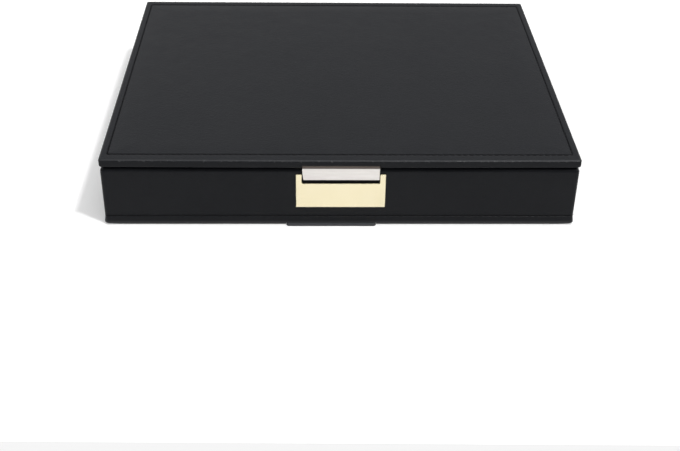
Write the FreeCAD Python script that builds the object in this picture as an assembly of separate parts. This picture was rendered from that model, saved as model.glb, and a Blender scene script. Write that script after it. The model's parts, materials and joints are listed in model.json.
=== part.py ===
import FreeCAD, Part
import os

# A low cufflink box: wrapped board walls, a hinged wrapped lid, a lined inside with a grid of
# compartments, a brass front plate and two short tabs.
# Millimetres, +Z up. The origin is under the middle of the walls, on the surface the box stands
# on, and the front faces -Y.

os.makedirs("parts", exist_ok=True)
Vector = FreeCAD.Vector
UP = Vector(0, 0, 1)
ALONG_X = Vector(1, 0, 0)

# ---- sizes of the wrapped walls ----
body_width = 249.9
body_depth = 202.9
rim_height = 34.45
body_corner = 2.5
rim_round = 2.2
foot_round = 1.2
wall_board = 7.0
skin = 0.8
inner_flap = 2.5
turn_under = 9.0

# ---- base ----
under_panel = 1.2
panel_drop = 0.15
base_board_thickness = 4.0

# ---- lining and compartments ----
lining = 2.8
floor_pad_thickness = 2.0
columns = 6
rows = 4
divider = 2.4

# ---- lid ----
lid_thickness = 4.7
lid_side_overhang = 0.2
lid_front_overhang = 0.4
lid_rear_overhang = 1.7
lid_corner = 1.5
lid_top_round = 1.2
lid_under_round = 1.3

# ---- front plate ----
plate_width = 47.0
plate_height = 20.2
plate_thickness = 1.0
plate_rim_drop = 2.8
plate_recess_width = 41.0
plate_recess_below_tab = 2.2
plate_recess_round = 0.7
plate_edge = 0.2
plate_pin_radius = 0.8
plate_pin_length = 4.6
plate_pin_spread = 32.0
plate_pin_drop = 5.0

# ---- tabs ----
lift_tab_width = 40.4
lift_tab_thickness = 0.65
lift_tab_hang = 7.0
lift_tab_bend = 1.0
base_tab_width = 47.8
base_tab_offset = -4.8
base_tab_reach = 2.0
base_tab_corner = 1.5

# ---- hinges ----
hinge_from_side = 49.95
hinge_length = 28.0
barrel_radius = 1.9
hinge_pin_radius = 0.8
axis_inside_wall = 0.45
leaf_thickness = 0.8
leaf_depth = 7.0
leaf_gap = 0.3
screw_spread = 16.0
screw_from_axis = 4.4
screw_head_radius = 1.5
screw_shank_radius = 0.7
screw_head_depth = 0.7
base_screw_length = 7.0
lid_screw_length = 2.6
screw_slot_width = 0.45
screw_slot_depth = 0.3

# ---- clearances ----
lid_shadow_gap = 0.85
pad_seat_gap = 0.1
divider_headroom = 2.55
board_gap = 0.2
lining_gap = 0.2
slot_gap = 0.15
lid_pad_gap = 0.8
tab_gap = 0.3
panel_gap = 0.2
barrel_gap = 0.3
knuckle_gap = 0.2
pin_running_gap = 0.05
leaf_fit_gap = 0.1
screw_hole_gap = 0.05
plate_pin_gap = 0.05
cut_margin = 1.0

# ---- heights and places that follow from the sizes ----
wrap_low = panel_drop
boards_low = under_panel
boards_high = rim_height - skin
base_board_high = boards_low + base_board_thickness
floor_high = base_board_high + floor_pad_thickness
lining_high = rim_height - inner_flap - lining_gap
divider_high = lining_high - divider_headroom
divider_height = divider_high - floor_high
lid_low = rim_height + lid_shadow_gap
lid_high = lid_low + lid_thickness
lid_board_low = lid_low + skin
lid_board_high = lid_high - skin
lid_pad_low = lining_high + pad_seat_gap

wall_front_y = -body_depth / 2
wall_rear_y = body_depth / 2
core_width = body_width - 2 * skin
core_depth = body_depth - 2 * skin
well_width = core_width - 2 * wall_board
well_depth = core_depth - 2 * wall_board
mouth_width = well_width - 2 * skin
mouth_depth = well_depth - 2 * skin
inside_width = well_width - 2 * lining
inside_depth = well_depth - 2 * lining
panel_width = body_width - 2 * turn_under
panel_depth = body_depth - 2 * turn_under

lid_width = body_width + 2 * lid_side_overhang
lid_depth = body_depth + lid_front_overhang + lid_rear_overhang
lid_centre_y = (lid_rear_overhang - lid_front_overhang) / 2
lid_pad_width = mouth_width - 2 * lid_pad_gap
lid_pad_length = mouth_depth - 2 * lid_pad_gap

axis_y = wall_rear_y - axis_inside_wall
axis_z = rim_height + lid_shadow_gap / 2
hinge_x = body_width / 2 - hinge_from_side
hinge_centres = (-hinge_x, hinge_x)
base_leaf_high = axis_z - leaf_gap / 2
lid_leaf_low = axis_z + leaf_gap / 2
screw_y = axis_y - screw_from_axis
screw_offsets = (-screw_spread / 2, screw_spread / 2)

lift_tab_low = lid_low - lift_tab_hang
plate_high = rim_height - plate_rim_drop
plate_low = plate_high - plate_height
plate_recess_low = lift_tab_low - plate_recess_below_tab


def save(shape, node):
    """Write one sub-part to its own STEP file."""
    shape.exportStep("parts/" + node + ".step")


def prism(width, depth, low, high, centre_y=0.0, centre_x=0.0):
    """A plain block between two heights, centred on the given place."""
    corner = Vector(centre_x - width / 2, centre_y - depth / 2, low)
    return Part.makeBox(width, depth, high - low, corner)


def upright_edges(shape):
    """The straight edges that run along Z."""
    found = []
    for edge in shape.Edges:
        start = edge.Vertexes[0].Point
        end = edge.Vertexes[-1].Point
        if abs(start.x - end.x) < 1e-6 and abs(start.y - end.y) < 1e-6:
            found.append(edge)
    return found


def edges_at_height(shape, height):
    """The edges that lie flat at one height."""
    found = []
    for edge in shape.Edges:
        box = edge.BoundBox
        if abs(box.ZMin - height) < 1e-4 and abs(box.ZMax - height) < 1e-4:
            found.append(edge)
    return found


def soft_block(width, depth, low, high, corner, top_round, low_round, centre_y=0.0):
    """A block with round upright corners and rounded top and bottom rims."""
    block = prism(width, depth, low, high, centre_y)
    block = block.makeFillet(corner, upright_edges(block))
    if top_round > 0:
        block = block.makeFillet(top_round, edges_at_height(block, high))
    if low_round > 0:
        block = block.makeFillet(low_round, edges_at_height(block, low))
    return block


def rod(radius, length, start, direction):
    """A round bar."""
    return Part.makeCylinder(radius, length, start, direction)


def barrel_clearance():
    """The round grooves that the hinge barrels turn in, behind the rim."""
    length = hinge_length + 2 * barrel_gap
    grooves = []
    for centre in hinge_centres:
        start = Vector(centre - length / 2, axis_y, axis_z)
        grooves.append(rod(barrel_radius + barrel_gap, length, start, ALONG_X))
    return Part.makeCompound(grooves)


def leaf_pockets(low, high):
    """The shallow pockets that the hinge leaves lie in."""
    length = hinge_length + 2 * leaf_fit_gap
    front = axis_y - leaf_depth - leaf_fit_gap
    pockets = []
    for centre in hinge_centres:
        corner = Vector(centre - length / 2, front, low)
        pockets.append(Part.makeBox(length, axis_y - front, high - low, corner))
    return Part.makeCompound(pockets)


def screw_holes(low, high):
    """Upright holes for the hinge screws' shanks."""
    holes = []
    for centre in hinge_centres:
        for offset in screw_offsets:
            start = Vector(centre + offset, screw_y, low)
            holes.append(rod(screw_shank_radius + screw_hole_gap, high - low, start, UP))
    return Part.makeCompound(holes)


def plate_pin_places():
    """Where the front plate's two pins stand, on the front of the wall."""
    height = plate_recess_low - plate_pin_drop
    return [Vector(side * plate_pin_spread / 2, wall_front_y, height) for side in (-1, 1)]


def plate_pin_holes():
    """The holes in the front wall that take the plate's pins."""
    depth = plate_pin_length + plate_pin_gap
    radius = plate_pin_radius + plate_pin_gap
    holes = [rod(radius, depth, place, Vector(0, 1, 0)) for place in plate_pin_places()]
    return Part.makeCompound(holes)


# ---- wall boards, mitred at the corners ----

def wall_ring():
    """All four wall boards as one ring, before the mitres part them."""
    ring = soft_block(core_width, core_depth, boards_low, boards_high,
                      body_corner - skin, rim_round - skin, foot_round - skin)
    ring = ring.cut(prism(well_width, well_depth, boards_low - cut_margin, boards_high + cut_margin))
    ring = ring.cut(barrel_clearance())
    ring = ring.cut(leaf_pockets(base_leaf_high - leaf_thickness, boards_high + cut_margin))
    ring = ring.cut(screw_holes(base_leaf_high - base_screw_length - screw_hole_gap, boards_high))
    return ring.cut(plate_pin_holes())


def mitre_wedge(points):
    """A tall wedge over one side of the ring, seen from above."""
    low = boards_low - cut_margin
    corners = [Vector(x, y, low) for x, y in points]
    outline = Part.makePolygon(corners + [corners[0]])
    return Part.Face(outline).extrude(UP * (boards_high - boards_low + 2 * cut_margin))


def wall_boards():
    """The four boards, each cut from the ring by 45 degree mitres."""
    out_x = core_width / 2 + cut_margin
    out_y = core_depth / 2 + cut_margin
    reach = wall_board + 2 * cut_margin
    in_x = out_x - reach
    in_y = out_y - reach
    wedges = {
        "front_wall_board": [(-out_x, -out_y), (out_x, -out_y), (in_x, -in_y), (-in_x, -in_y)],
        "rear_wall_board": [(-out_x, out_y), (-in_x, in_y), (in_x, in_y), (out_x, out_y)],
        "left_wall_board": [(-out_x, -out_y), (-in_x, -in_y), (-in_x, in_y), (-out_x, out_y)],
        "right_wall_board": [(out_x, -out_y), (out_x, out_y), (in_x, in_y), (in_x, -in_y)],
    }
    ring = wall_ring()
    for node, points in wedges.items():
        board = ring.common(mitre_wedge(points))
        save(board, node)


# ---- leatherette round the walls ----

def wall_cover():
    """Leatherette glued round the walls, over the rim and under the bottom edge."""
    cover = soft_block(body_width, body_depth, wrap_low, rim_height, body_corner, rim_round, foot_round)
    core = soft_block(core_width, core_depth, boards_low, boards_high,
                      body_corner - skin, rim_round - skin, foot_round - skin)
    cover = cover.cut(core)
    cover = cover.cut(prism(mouth_width, mouth_depth, boards_high - cut_margin, rim_height + cut_margin))
    window_width = panel_width + 2 * panel_gap
    window_depth = panel_depth + 2 * panel_gap
    cover = cover.cut(prism(window_width, window_depth, wrap_low - cut_margin, boards_low))
    flap = prism(well_width, well_depth, rim_height - inner_flap, boards_high)
    flap = flap.cut(prism(mouth_width, mouth_depth, rim_height - inner_flap, boards_high))
    cover = cover.fuse(flap).removeSplitter()
    cover = cover.cut(barrel_clearance())
    cover = cover.cut(leaf_pockets(base_leaf_high - leaf_thickness, rim_height + cut_margin))
    cover = cover.cut(screw_holes(base_leaf_high - base_screw_length - screw_hole_gap, rim_height))
    cover = cover.cut(plate_pin_holes())
    notch_depth = turn_under + cut_margin + panel_gap
    notch_y = wall_front_y - cut_margin + notch_depth / 2
    notch = prism(base_tab_width + 2 * panel_gap, notch_depth, wrap_low - cut_margin, boards_low,
                  notch_y, base_tab_offset)
    save(cover.cut(notch), "wall_cover")


# ---- base ----

def base_pieces():
    """The base board, the panel under it and the tab that shows at the front."""
    board_width = well_width - 2 * board_gap
    board_depth = well_depth - 2 * board_gap
    save(prism(board_width, board_depth, boards_low, base_board_high), "base_board")
    save(prism(panel_width, panel_depth, 0.0, under_panel), "bottom_panel")
    tab_front = wall_front_y - base_tab_reach
    tab_rear = -panel_depth / 2 - tab_gap
    tab = prism(base_tab_width, tab_rear - tab_front, 0.0, under_panel,
                (tab_front + tab_rear) / 2, base_tab_offset)
    front_edges = [edge for edge in upright_edges(tab) if edge.Vertexes[0].Point.y < wall_front_y]
    save(tab.makeFillet(base_tab_corner, front_edges), "base_tab")


# ---- lining ----

def lining_pieces():
    """Velvet covered cards on the four walls and the floor."""
    low = base_board_high
    front_y = -well_depth / 2 + lining / 2
    save(prism(well_width, lining, low, lining_high, front_y), "front_lining")
    save(prism(well_width, lining, low, lining_high, -front_y), "rear_lining")
    side_x = well_width / 2 - lining / 2
    side_length = inside_depth - 2 * lining_gap
    save(prism(lining, side_length, low, lining_high, 0.0, -side_x), "left_lining")
    save(prism(lining, side_length, low, lining_high, 0.0, side_x), "right_lining")
    pad_width = inside_width - 2 * lining_gap
    pad_depth = inside_depth - 2 * lining_gap
    save(prism(pad_width, pad_depth, base_board_high, floor_high), "floor_pad")


# ---- dividers, half-lapped into a grid ----

def divider_places(count, span):
    """Middles of the dividers that part a span into equal compartments."""
    cell = (span - (count - 1) * divider) / count
    pitch = cell + divider
    return [-span / 2 + step * pitch - divider / 2 for step in range(1, count)]


def grid_dividers():
    """Long dividers slotted from above, cross dividers slotted from below."""
    length = inside_width - 2 * lining_gap
    depth = inside_depth - 2 * lining_gap
    across = divider_places(columns, inside_width)
    along = divider_places(rows, inside_depth)
    slot = divider + 2 * slot_gap
    halfway = floor_high + divider_height / 2
    for number, y in enumerate(along, start=1):
        strip = prism(length, divider, floor_high, divider_high, y)
        for x in across:
            notch = prism(slot, divider + 2 * cut_margin, halfway - slot_gap, divider_high + cut_margin, y, x)
            strip = strip.cut(notch)
        save(strip, "long_divider_" + str(number))
    for number, x in enumerate(across, start=1):
        strip = prism(divider, depth, floor_high, divider_high, 0.0, x)
        for y in along:
            notch = prism(divider + 2 * cut_margin, slot, floor_high - cut_margin, halfway + slot_gap, y, x)
            strip = strip.cut(notch)
        save(strip, "cross_divider_" + str(number))


# ---- lid ----

def lid_cuts(low, high):
    """Everything that is let into the lid from below."""
    pockets = leaf_pockets(low, lid_leaf_low + leaf_thickness)
    holes = screw_holes(low, high)
    return Part.makeCompound([barrel_clearance(), pockets, holes])


def lid_pieces():
    """The lid's board, its leatherette and the velvet pad inside it."""
    screw_high = lid_leaf_low + lid_screw_length + screw_hole_gap
    cuts = lid_cuts(lid_low - cut_margin, screw_high)
    board = soft_block(lid_width - 2 * skin, lid_depth - 2 * skin, lid_board_low, lid_board_high,
                       lid_corner - skin, lid_top_round - skin, 0.0, lid_centre_y)
    cover = soft_block(lid_width, lid_depth, lid_low, lid_high,
                       lid_corner, lid_top_round, lid_under_round, lid_centre_y)
    cover = cover.cut(board)
    window = prism(lid_pad_width + 2 * panel_gap, lid_pad_length + 2 * panel_gap,
                   lid_low - cut_margin, lid_board_low)
    cover = cover.cut(window)
    save(board.cut(cuts), "lid_board")
    save(cover.cut(cuts), "lid_cover")
    save(prism(lid_pad_width, lid_pad_length, lid_pad_low, lid_board_low), "lid_pad")


def lift_tab():
    """The pale tab: glued to the underside of the lid, out over the rim and down before the wall."""
    inner_y = wall_front_y - tab_gap
    outer_y = inner_y - lift_tab_thickness
    root_rear = -lid_pad_length / 2 - tab_gap
    high = lid_low
    root_low = high - lift_tab_thickness
    root = prism(lift_tab_width, root_rear - outer_y, root_low, high, (root_rear + outer_y) / 2)
    drop = prism(lift_tab_width, lift_tab_thickness, lift_tab_low, high, (inner_y + outer_y) / 2)
    tab = root.fuse(drop).removeSplitter()
    bend = []
    for edge in edges_at_height(tab, high):
        if abs(edge.BoundBox.YMin - outer_y) < 1e-4 and abs(edge.BoundBox.YMax - outer_y) < 1e-4:
            bend.append(edge)
    save(tab.makeFillet(lift_tab_bend, bend), "lift_tab")


# ---- front plate ----

def name_plate():
    """The U-shaped brass plate, bare, with two pins into the wall board."""
    rear_y = wall_front_y
    front_y = rear_y - plate_thickness
    plate = prism(plate_width, plate_thickness, plate_low, plate_high, (rear_y + front_y) / 2)
    recess = prism(plate_recess_width, plate_thickness + 2 * cut_margin, plate_recess_low,
                   plate_high + plate_recess_round + cut_margin, (rear_y + front_y) / 2)
    corners = []
    for edge in edges_at_height(recess, plate_recess_low):
        if abs(edge.BoundBox.XMin - edge.BoundBox.XMax) < 1e-4:
            corners.append(edge)
    plate = plate.cut(recess.makeFillet(plate_recess_round, corners))
    face_edges = [edge for edge in plate.Edges if abs(edge.BoundBox.YMax - front_y) < 1e-4]
    plate = plate.makeChamfer(plate_edge, face_edges)
    for place in plate_pin_places():
        plate = plate.fuse(rod(plate_pin_radius, plate_pin_length, place, Vector(0, 1, 0)))
    save(plate.removeSplitter(), "name_plate")


# ---- hinges ----

def knuckle_spans(centre):
    """The three knuckles of one hinge along X: two of the base leaf, one of the lid leaf."""
    third = hinge_length / 3
    left = centre - hinge_length / 2
    middle = left + third
    right = middle + third
    base = [(left, middle - knuckle_gap / 2), (right + knuckle_gap / 2, left + hinge_length)]
    lid = [(middle + knuckle_gap / 2, right - knuckle_gap / 2)]
    return base, lid


def hinge_leaf(centre, own_spans, other_spans, low, bore_radius):
    """One leaf with its knuckles, cut clear of the other leaf's knuckles."""
    corner = Vector(centre - hinge_length / 2, axis_y - leaf_depth, low)
    leaf = Part.makeBox(hinge_length, leaf_depth, leaf_thickness, corner)
    for start, end in other_spans:
        length = end - start + 2 * knuckle_gap
        place = Vector(start - knuckle_gap, axis_y, axis_z)
        leaf = leaf.cut(rod(barrel_radius + knuckle_gap, length, place, ALONG_X))
    for start, end in own_spans:
        leaf = leaf.fuse(rod(barrel_radius, end - start, Vector(start, axis_y, axis_z), ALONG_X))
    bore_start = Vector(centre - hinge_length / 2 - cut_margin, axis_y, axis_z)
    bore = rod(bore_radius, hinge_length + 2 * cut_margin, bore_start, ALONG_X)
    return leaf.removeSplitter().cut(bore)


def screw(place, length, direction):
    """A small countersunk screw: place is the middle of its head, direction its way in."""
    head = Part.makeCone(screw_head_radius, screw_shank_radius, screw_head_depth, place, direction)
    tip_length = screw_shank_radius
    shank_start = place + direction * screw_head_depth
    shank_length = length - screw_head_depth - tip_length
    shank = rod(screw_shank_radius, shank_length, shank_start, direction)
    tip_start = shank_start + direction * shank_length
    tip = Part.makeCone(screw_shank_radius, 0.0, tip_length, tip_start, direction)
    slot = prism(2 * screw_head_radius, screw_slot_width, -screw_slot_depth, screw_slot_depth)
    slot.translate(place)
    return head.fuse(shank).fuse(tip).removeSplitter().cut(slot)


def countersinks(place_height, direction):
    """The tapered holes in the leaves that the screw heads sit in."""
    wide = screw_head_radius + screw_hole_gap
    narrow = screw_shank_radius + screw_hole_gap
    sinks = []
    for centre in hinge_centres:
        for offset in screw_offsets:
            place = Vector(centre + offset, screw_y, place_height)
            sinks.append(Part.makeCone(wide, narrow, screw_head_depth, place, direction))
            sinks.append(rod(narrow, leaf_thickness, place, direction))
    return Part.makeCompound(sinks)


def hinges():
    """Two butt hinges: leaves, pins and screws."""
    base_sinks = countersinks(base_leaf_high, -UP)
    lid_sinks = countersinks(lid_leaf_low, UP)
    for side, centre in zip(("left", "right"), hinge_centres):
        base_spans, lid_spans = knuckle_spans(centre)
        base_leaf = hinge_leaf(centre, base_spans, lid_spans, base_leaf_high - leaf_thickness,
                               hinge_pin_radius)
        lid_leaf = hinge_leaf(centre, lid_spans, base_spans, lid_leaf_low,
                              hinge_pin_radius + pin_running_gap)
        save(base_leaf.cut(base_sinks), side + "_base_leaf")
        save(lid_leaf.cut(lid_sinks), side + "_lid_leaf")
        pin_start = Vector(centre - hinge_length / 2, axis_y, axis_z)
        save(rod(hinge_pin_radius, hinge_length, pin_start, ALONG_X), side + "_hinge_pin")
    base_screws = []
    lid_screws = []
    for centre in hinge_centres:
        for offset in screw_offsets:
            x = centre + offset
            base_screws.append(screw(Vector(x, screw_y, base_leaf_high), base_screw_length, -UP))
            lid_screws.append(screw(Vector(x, screw_y, lid_leaf_low), lid_screw_length, UP))
    save(Part.makeCompound(base_screws), "base_leaf_screws")
    save(Part.makeCompound(lid_screws), "lid_leaf_screws")


wall_boards()
wall_cover()
base_pieces()
lining_pieces()
grid_dividers()
lid_pieces()
lift_tab()
name_plate()
hinges()
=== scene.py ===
import json
import math
import bpy
import bmesh
from mathutils import Matrix, Vector


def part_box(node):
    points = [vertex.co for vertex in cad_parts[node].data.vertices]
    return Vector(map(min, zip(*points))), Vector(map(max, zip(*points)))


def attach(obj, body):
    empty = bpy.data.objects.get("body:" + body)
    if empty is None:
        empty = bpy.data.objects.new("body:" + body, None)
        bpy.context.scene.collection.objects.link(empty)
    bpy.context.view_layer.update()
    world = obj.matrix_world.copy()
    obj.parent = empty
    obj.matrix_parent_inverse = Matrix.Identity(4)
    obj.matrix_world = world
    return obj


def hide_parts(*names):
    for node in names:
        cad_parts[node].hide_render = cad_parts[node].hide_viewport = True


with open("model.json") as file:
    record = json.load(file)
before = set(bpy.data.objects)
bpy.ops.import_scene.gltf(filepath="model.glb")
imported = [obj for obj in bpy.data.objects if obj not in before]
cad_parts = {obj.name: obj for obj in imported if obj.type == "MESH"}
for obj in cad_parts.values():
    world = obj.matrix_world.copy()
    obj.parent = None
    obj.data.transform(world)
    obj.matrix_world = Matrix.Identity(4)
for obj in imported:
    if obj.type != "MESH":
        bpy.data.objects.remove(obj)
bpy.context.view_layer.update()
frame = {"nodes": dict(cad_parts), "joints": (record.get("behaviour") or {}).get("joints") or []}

mm = 0.001
hair = 0.02 * mm  # just enough to keep two faces apart
nodes = frame["nodes"]
lidHinge = frame["joints"][0]
hingeAxis = Vector(lidHinge["pos_m"])


def nodeSize(node):
    # the middle of a CAD node and its full size
    low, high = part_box(node)
    return (low + high) / 2, high - low


def placeObject(name, data):
    thing = bpy.data.objects.new(name, data)
    bpy.context.scene.collection.objects.link(thing)
    return thing


def newMaterial(name):
    material = bpy.data.materials.new(name)
    material.use_nodes = True
    tree = material.node_tree
    shader = next(node for node in tree.nodes if node.type == "BSDF_PRINCIPLED")
    return material, tree, shader


def addNode(tree, kind, **inputs):
    node = tree.nodes.new(kind)
    for socket, value in inputs.items():
        node.inputs[socket].default_value = value
    return node


def objectPlace(tree, stretch=(1, 1, 1)):
    # texture place in metres, so that grain keeps its real size
    place = addNode(tree, "ShaderNodeTexCoord")
    mapping = addNode(tree, "ShaderNodeMapping", Scale=stretch)
    tree.links.new(place.outputs["Object"], mapping.inputs["Vector"])
    return mapping.outputs["Vector"]


def noiseAt(tree, place, grain, detail=3.0, roughness=0.5):
    # grain is the size of one speck in metres
    noise = addNode(tree, "ShaderNodeTexNoise", Scale=1 / grain, Detail=detail, Roughness=roughness)
    tree.links.new(place, noise.inputs["Vector"])
    return noise.outputs["Fac"]


def cellsAt(tree, place, grain):
    cells = addNode(tree, "ShaderNodeTexVoronoi", Scale=1 / grain)
    tree.links.new(place, cells.inputs["Vector"])
    return cells.outputs["Distance"]


def spread(tree, value, low, high, fromLow=0.0, fromHigh=1.0):
    ranged = addNode(tree, "ShaderNodeMapRange")
    ranged.inputs["From Min"].default_value = fromLow
    ranged.inputs["From Max"].default_value = fromHigh
    ranged.inputs["To Min"].default_value = low
    ranged.inputs["To Max"].default_value = high
    tree.links.new(value, ranged.inputs["Value"])
    return ranged.outputs["Result"]


def blendColours(tree, factor, first, second):
    mix = addNode(tree, "ShaderNodeMix")
    mix.data_type = "RGBA"
    mix.inputs["A"].default_value = (*first, 1)
    mix.inputs["B"].default_value = (*second, 1)
    tree.links.new(factor, mix.inputs["Factor"])
    return mix.outputs["Result"]


def blendOver(tree, factor, under, over):
    # the same, with a node's output as the first colour
    mixed = blendColours(tree, factor, over, over)
    tree.links.new(under, mixed.node.inputs["A"])
    return mixed


def mottle(tree, cloud, soft, first, second):
    # two colours in soft patches, sharper as soft comes near a half
    return blendColours(tree, spread(tree, cloud, 0, 1, soft, 1 - soft), first, second)


def addHeights(tree, first, second, share):
    # first plus share times second
    total = addNode(tree, "ShaderNodeMath")
    total.operation = "MULTIPLY_ADD"
    total.inputs[1].default_value = share
    tree.links.new(second, total.inputs[0])
    tree.links.new(first, total.inputs[2])
    return total.outputs["Value"]


def combine(tree, operation, first, second):
    # maths on two values, each a node's output or a number
    node = addNode(tree, "ShaderNodeMath")
    node.operation = operation
    for socket, value in zip(node.inputs, (first, second)):
        if isinstance(value, (int, float)):
            socket.default_value = value
        else:
            tree.links.new(value, socket)
    return node.outputs["Value"]


def raiseSurface(tree, shader, height, depth):
    bump = addNode(tree, "ShaderNodeBump", Strength=1.0, Distance=depth)
    tree.links.new(height, bump.inputs["Height"])
    tree.links.new(bump.outputs["Normal"], shader.inputs["Normal"])


def finishShader(tree, shader, look, colour):
    # links the colour and sets what is the same all over the surface
    tree.links.new(colour, shader.inputs["Base Color"])
    sockets = {"metal": "Metallic", "rough": "Roughness", "shine": "Specular IOR Level",
               "sheen": "Sheen Weight", "sheenRough": "Sheen Roughness"}
    for key, socket in sockets.items():
        if key in look:
            shader.inputs[socket].default_value = look[key]


leatherLook = {
    "colour": (0.0048, 0.0054, 0.0070),
    "worn": (0.0058, 0.0064, 0.0080),
    # paler towards the foot: painted reflection of the white floor
    "footSheen": (0.050, 0.051, 0.053),
    "footSheenHigh": 2.6 * mm,
    "footSheenLow": 0.2 * mm,
    # pale spots on the lid's upper edge: painted glints, with some edge wear
    "paintedSheen": (0.055, 0.056, 0.058),
    "edgeGlintIn": 0.5 * mm,
    "edgeGlintDown": 1.3 * mm,
    "edgeGlintSpot": 1.4 * mm,
    "edgeGlintFrom": 0.55,
    "edgeGlintTo": 0.68,
    "shine": 0.16,
    "roughRange": (0.38, 0.44),
    "patch": 38 * mm,
    "soft": 0.35,
    "handled": 9 * mm,
    "pebble": 0.85 * mm,
    "pore": 0.3 * mm,
    "poreShare": 0.6,
    "crease": 2.6 * mm,
    "creaseShare": 0.8,
    "depth": 0.065 * mm,
}


def lidEdgeGlintsAndWear(tree, place, parts, look):
    # 1 in small pale spots along the upper edge of the lid, at its front and sides: painted glints on the
    # edge highlight, with some edge wear
    low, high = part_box("lid_cover")
    reach = look["edgeGlintIn"]
    down = look["edgeGlintDown"]
    sideways = combine(tree, "ABSOLUTE", parts.outputs["X"], 0.0)
    atSide = spread(tree, sideways, 0, 1, high.x - reach, high.x)
    atFront = spread(tree, parts.outputs["Y"], 1, 0, low.y, low.y + reach)
    atTop = spread(tree, parts.outputs["Z"], 0, 1, high.z - down, high.z - down / 2)
    atEdge = combine(tree, "MULTIPLY", combine(tree, "MAXIMUM", atSide, atFront), atTop)
    spots = noiseAt(tree, place, look["edgeGlintSpot"], detail=4, roughness=0.65)
    return combine(tree, "MULTIPLY", atEdge, spread(tree, spots, 0, 1, look["edgeGlintFrom"], look["edgeGlintTo"]))


def leatherMaterial(name, look):
    material, tree, shader = newMaterial(name)
    place = objectPlace(tree)
    cloud = noiseAt(tree, place, look["patch"], detail=4)
    colour = mottle(tree, cloud, look["soft"], look["colour"], look["worn"])
    # paler towards the foot: painted reflection of the white floor on the rounded lower edge
    parts = addNode(tree, "ShaderNodeSeparateXYZ")
    tree.links.new(place, parts.inputs[0])
    paintedSheen = spread(tree, parts.outputs["Z"], 0, 1, look["footSheenHigh"], look["footSheenLow"])
    colour = blendOver(tree, paintedSheen, colour, look["footSheen"])
    # pale spots on the lid's upper edge: painted glints on its highlight, with some wear
    colour = blendOver(tree, lidEdgeGlintsAndWear(tree, place, parts, look), colour, look["paintedSheen"])
    pebbles = cellsAt(tree, place, look["pebble"])
    pores = noiseAt(tree, place, look["pore"], detail=4, roughness=0.6)
    creases = noiseAt(tree, place, look["crease"], detail=3, roughness=0.6)
    height = addHeights(tree, pebbles, pores, look["poreShare"])
    height = addHeights(tree, height, creases, look["creaseShare"])
    raiseSurface(tree, shader, height, look["depth"])
    handled = noiseAt(tree, place, look["handled"], detail=5)
    tree.links.new(spread(tree, handled, *look["roughRange"], 0.3, 0.7), shader.inputs["Roughness"])
    finishShader(tree, shader, look, colour)
    return material


velvetLook = {
    "colour": (0.44, 0.395, 0.375),
    "brushed": (0.495, 0.45, 0.43),
    "stroke": 16 * mm,
    "strokeRun": (1, 2.4, 1.6),
    "soft": 0.38,
    "fibre": 0.22 * mm,
    "depth": 0.10 * mm,
    "rough": 0.95,
    "shine": 0.1,
    "sheen": 0.35,
    "sheenRough": 0.45,
}


def velvetMaterial(name, look):
    material, tree, shader = newMaterial(name)
    place = objectPlace(tree)
    brushed = noiseAt(tree, objectPlace(tree, look["strokeRun"]), look["stroke"], detail=5, roughness=0.6)
    colour = mottle(tree, brushed, look["soft"], look["colour"], look["brushed"])
    fibres = noiseAt(tree, place, look["fibre"], detail=5, roughness=0.75)
    raiseSurface(tree, shader, fibres, look["depth"])
    finishShader(tree, shader, look, colour)
    return material


tabLook = {
    "colour": (0.81, 0.78, 0.75),
    "shade": (0.765, 0.73, 0.70),
    # dark brown at the top, under the lid's lip: painted shade
    "lipShade": (0.105, 0.086, 0.074),
    "lipShadeFrom": 34.85 * mm,
    "lipShadeTo": 35.2 * mm,
    "patch": 3 * mm,
    "patchRun": (0.3, 1, 2.5),
    "soft": 0.35,
    "rib": 0.62 * mm,
    "ribWander": 0.6,
    "grain": 0.3 * mm,
    "grainShare": 0.8,
    "depth": 0.05 * mm,
    "rough": 0.62,
    "shine": 0.3,
}


def tabMaterial(name, look):
    # pale coated cloth with a fine cross rib
    material, tree, shader = newMaterial(name)
    place = objectPlace(tree)
    cloud = noiseAt(tree, objectPlace(tree, look["patchRun"]), look["patch"], detail=4)
    colour = mottle(tree, cloud, look["soft"], look["colour"], look["shade"])
    # darker brown at the top, where it runs into the slot under the lid's lip: painted shade
    parts = addNode(tree, "ShaderNodeSeparateXYZ")
    tree.links.new(place, parts.inputs[0])
    shadedUnderLip = spread(tree, parts.outputs["Z"], 0, 1, look["lipShadeFrom"], look["lipShadeTo"])
    colour = blendOver(tree, shadedUnderLip, colour, look["lipShade"])
    ribScale = 1 / look["rib"] / 20 * math.pi  # at scale 1 a rib is pi / 20 wide
    ribs = addNode(tree, "ShaderNodeTexWave", Scale=ribScale, Distortion=look["ribWander"])
    ribs.bands_direction = "Z"
    ribs.inputs["Detail"].default_value = 2
    tree.links.new(place, ribs.inputs["Vector"])
    grain = noiseAt(tree, place, look["grain"], detail=4)
    height = addHeights(tree, ribs.outputs["Fac"], grain, look["grainShare"])
    raiseSurface(tree, shader, height, look["depth"])
    finishShader(tree, shader, look, colour)
    return material


brassLook = {
    "colour": (0.96, 0.87, 0.62),
    "deep": (0.945, 0.85, 0.59),
    "patch": 7 * mm,
    "soft": 0.3,
    "metal": 1.0,
    "roughRange": (0.20, 0.26),
    "smear": 1.2 * mm,
    "smearRun": (0.06, 1, 1),
    "brushing": 0.12 * mm,
    "brushRun": (0.02, 1, 1),
    "brushDepth": 0.0012 * mm,
}


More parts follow.
